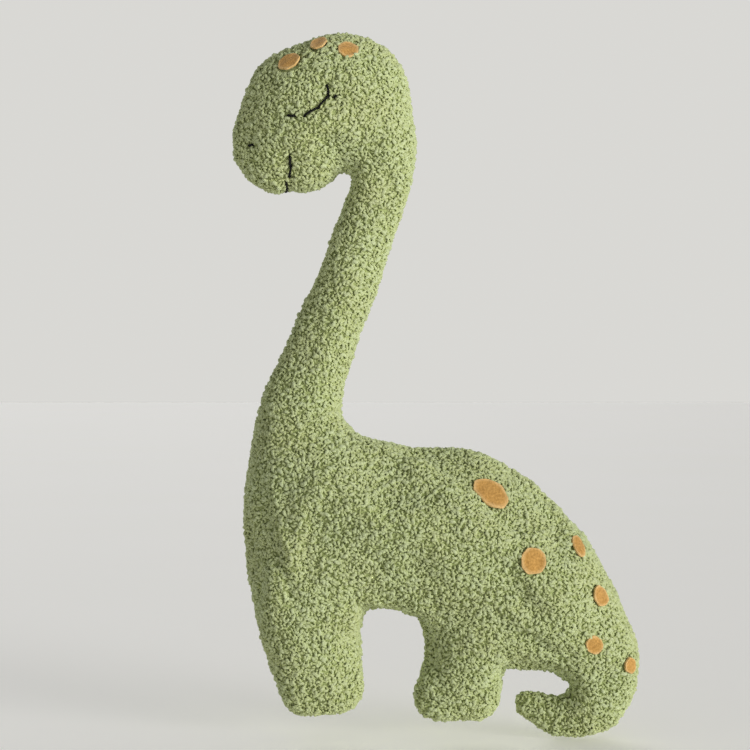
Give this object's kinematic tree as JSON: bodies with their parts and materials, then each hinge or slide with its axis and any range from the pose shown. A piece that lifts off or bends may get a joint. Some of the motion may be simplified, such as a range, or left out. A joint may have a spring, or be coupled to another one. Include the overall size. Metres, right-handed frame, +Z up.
{
  "type": "stuffed dinosaur",
  "caption": "Soft stuffed long-necked dinosaur in green bouclé, with a closed embroidered eye, felt spots on head and back, two leg lobes and a curled tail.",
  "frame": {"origin": "middle of the box's lower side, under the toy as it stands upright", "axes": "+Z up through neck and head, -X towards the snout, +X towards the tail, Y across the toy with the seam in the plane Y = 0 and the toy's left side towards -Y"},
  "size_m": [0.2299, 0.0888, 0.3988],
  "materials": {
    "boucle": "looped woollen pile, matt",
    "felt": "matt wool felt",
    "embroidery": "matt cotton thread",
    "sewing_thread": "fine polyester thread",
    "stuffing": "loose polyester fibre"
  },
  "bodies": {
    "root": {"left_panel": "boucle", "right_panel": "boucle", "seam_thread": "sewing_thread", "closing_thread": "sewing_thread", "head_stuffing": "stuffing", "neck_stuffing": "stuffing", "body_stuffing": "stuffing", "front_leg_stuffing": "stuffing", "hind_leg_stuffing": "stuffing", "tail_stuffing": "stuffing", "left_eye_thread": "embroidery", "right_eye_thread": "embroidery", "mouth_thread": "embroidery", "left_nostril_thread": "embroidery", "right_nostril_thread": "embroidery", "left_head_front_spot": "felt", "left_head_middle_spot": "felt", "left_head_rear_spot": "felt", "left_back_front_spot": "felt", "left_back_rear_spot": "felt", "left_rump_upper_spot": "felt", "left_rump_middle_spot": "felt", "left_rump_lower_spot": "felt", "left_tail_spot": "felt", "right_head_front_spot": "felt", "right_head_middle_spot": "felt", "right_head_rear_spot": "felt", "right_back_front_spot": "felt", "right_back_rear_spot": "felt", "right_rump_upper_spot": "felt", "right_rump_middle_spot": "felt", "right_rump_lower_spot": "felt", "right_tail_spot": "felt"}
  },
  "joints": []
}
